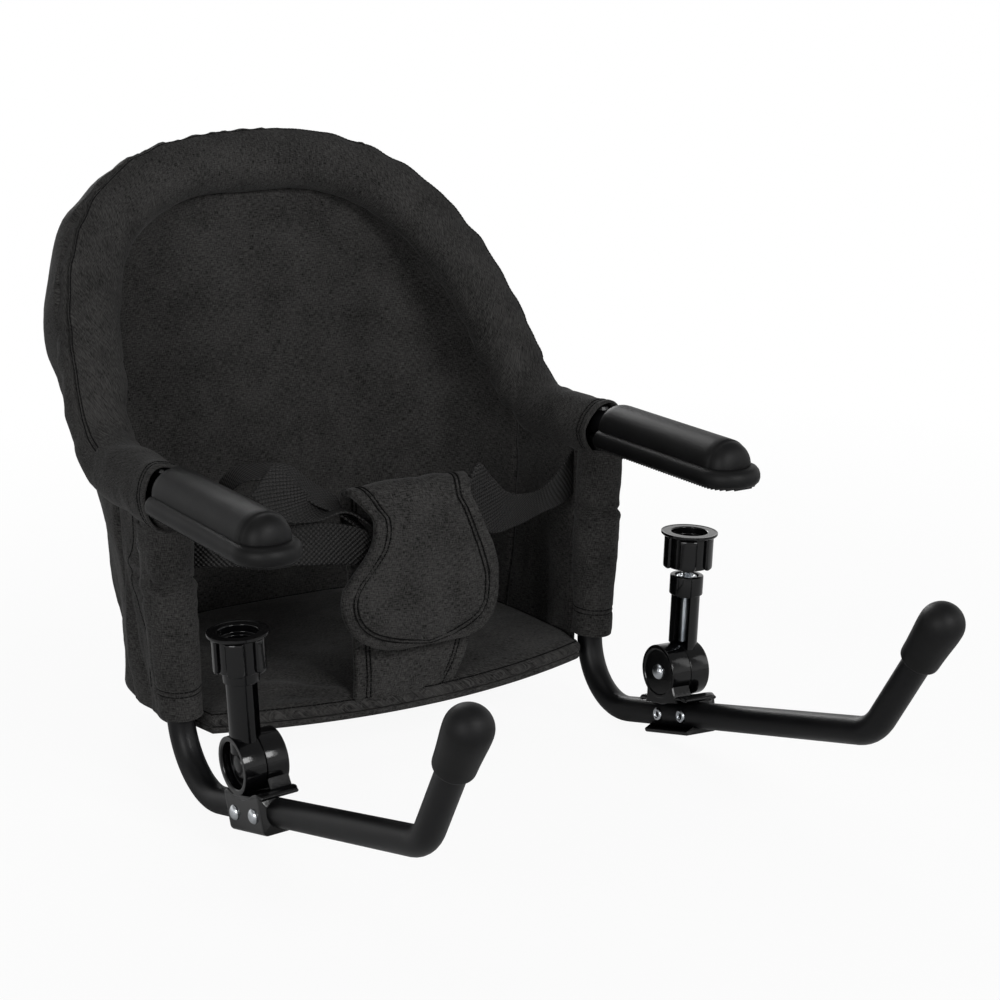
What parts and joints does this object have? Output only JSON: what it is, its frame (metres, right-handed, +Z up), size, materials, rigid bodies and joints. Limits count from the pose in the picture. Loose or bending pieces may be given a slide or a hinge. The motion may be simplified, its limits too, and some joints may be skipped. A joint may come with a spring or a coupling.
{
  "type": "hook-on table chair",
  "caption": "Baby seat that hooks onto a table: cloth bucket on a black tube frame, rubber armrest pads above the table and screw clamps with hand knobs below it.",
  "frame": {"origin": "midway between the two armrest pads, in the plane of their soles, which is the table's top face", "axes": "+Z up, -Y towards the table, +X to the seated child's left"},
  "size_m": [0.4012, 0.6459, 0.4246],
  "materials": {
    "frame_steel": "matt black powder coat",
    "rubber": "matt black",
    "clamp_plastic": "gloss black",
    "buckle_plastic": "satin black",
    "zinc_steel": "bright zinc plate",
    "cloth": "dark charcoal melange weave",
    "webbing": "black basket-weave webbing",
    "seat_board": "plain hardboard"
  },
  "bodies": {
    "chair": {"back_panel": "cloth", "back_rim": "cloth", "buckle_body": "buckle_plastic", "crotch_pad": "cloth", "crotch_strap": "webbing", "left_arm_screw": "zinc_steel", "left_armrest_pad": "rubber", "left_clamp_saddle": "clamp_plastic", "left_front_rivet": "zinc_steel", "left_lower_frame_tube": "frame_steel", "left_press_stud": "clamp_plastic", "left_rear_rivet": "zinc_steel", "left_side_panel": "cloth", "left_tube_end_cap": "rubber", "left_upright_plug": "zinc_steel", "left_upright_sleeve": "cloth", "left_waist_belt": "webbing", "right_arm_screw": "zinc_steel", "right_armrest_pad": "rubber", "right_clamp_saddle": "clamp_plastic", "right_front_rivet": "zinc_steel", "right_lower_frame_tube": "frame_steel", "right_press_stud": "clamp_plastic", "right_rear_rivet": "zinc_steel", "right_side_panel": "cloth", "right_tube_end_cap": "rubber", "right_upright_plug": "zinc_steel", "right_upright_sleeve": "cloth", "right_waist_belt": "webbing", "seat_base_cloth": "cloth", "seat_board": "seat_board", "seat_pad": "cloth", "upper_frame_tube": "frame_steel"},
    "left_clamp_arm": {"left_clamp_arm": "clamp_plastic", "left_clamp_nut": "zinc_steel", "left_pivot_rivet": "zinc_steel", "left_pivot_washer": "zinc_steel"},
    "left_clamp_screw": {"left_clamp_screw": "zinc_steel", "left_clamp_knob": "clamp_plastic"},
    "left_buckle_tongue": {"left_buckle_tongue": "buckle_plastic"},
    "right_clamp_arm": {"right_clamp_arm": "clamp_plastic", "right_clamp_nut": "zinc_steel", "right_pivot_rivet": "zinc_steel", "right_pivot_washer": "zinc_steel"},
    "right_clamp_screw": {"right_clamp_screw": "zinc_steel", "right_clamp_knob": "clamp_plastic"},
    "right_buckle_tongue": {"right_buckle_tongue": "buckle_plastic"},
    "crotch_flap": {"crotch_flap": "cloth"}
  },
  "joints": [
    {"name": "left_clamp_swing", "type": "hinge", "parent": "chair", "child": "left_clamp_arm", "pos_m": [0.16884, -0.01399, -0.14629], "axis": [0.9989, -0.014, -0.0448], "range_deg": [-30, 75]},
    {"name": "left_screw_travel", "type": "slide", "parent": "left_clamp_arm", "child": "left_clamp_screw", "axis": [0.0448, 0, 0.999], "range_m": [-0.0126, 0.0294]},
    {"name": "right_clamp_swing", "type": "hinge", "parent": "chair", "child": "right_clamp_arm", "pos_m": [-0.16884, -0.01399, -0.14629], "axis": [0.9989, 0.014, 0.0448], "range_deg": [-30, 75]},
    {"name": "right_screw_travel", "type": "slide", "parent": "right_clamp_arm", "child": "right_clamp_screw", "axis": [-0.0448, 0, 0.999], "range_m": [0, 0.042]},
    {"name": "crotch_flap_lift", "type": "hinge", "parent": "chair", "child": "crotch_flap", "pos_m": [0, 0.052, -0.0008], "axis": [-1, 0, 0], "range_deg": [0, 100]},
    {"name": "left_tongue_pull", "type": "slide", "parent": "chair", "child": "left_buckle_tongue", "axis": [1, 0, 0], "range_m": [0, 0.03], "deforming": ["left_waist_belt"]},
    {"name": "right_tongue_pull", "type": "slide", "parent": "chair", "child": "right_buckle_tongue", "axis": [-1, 0, 0], "range_m": [0, 0.03], "deforming": ["right_waist_belt"]}
  ]
}
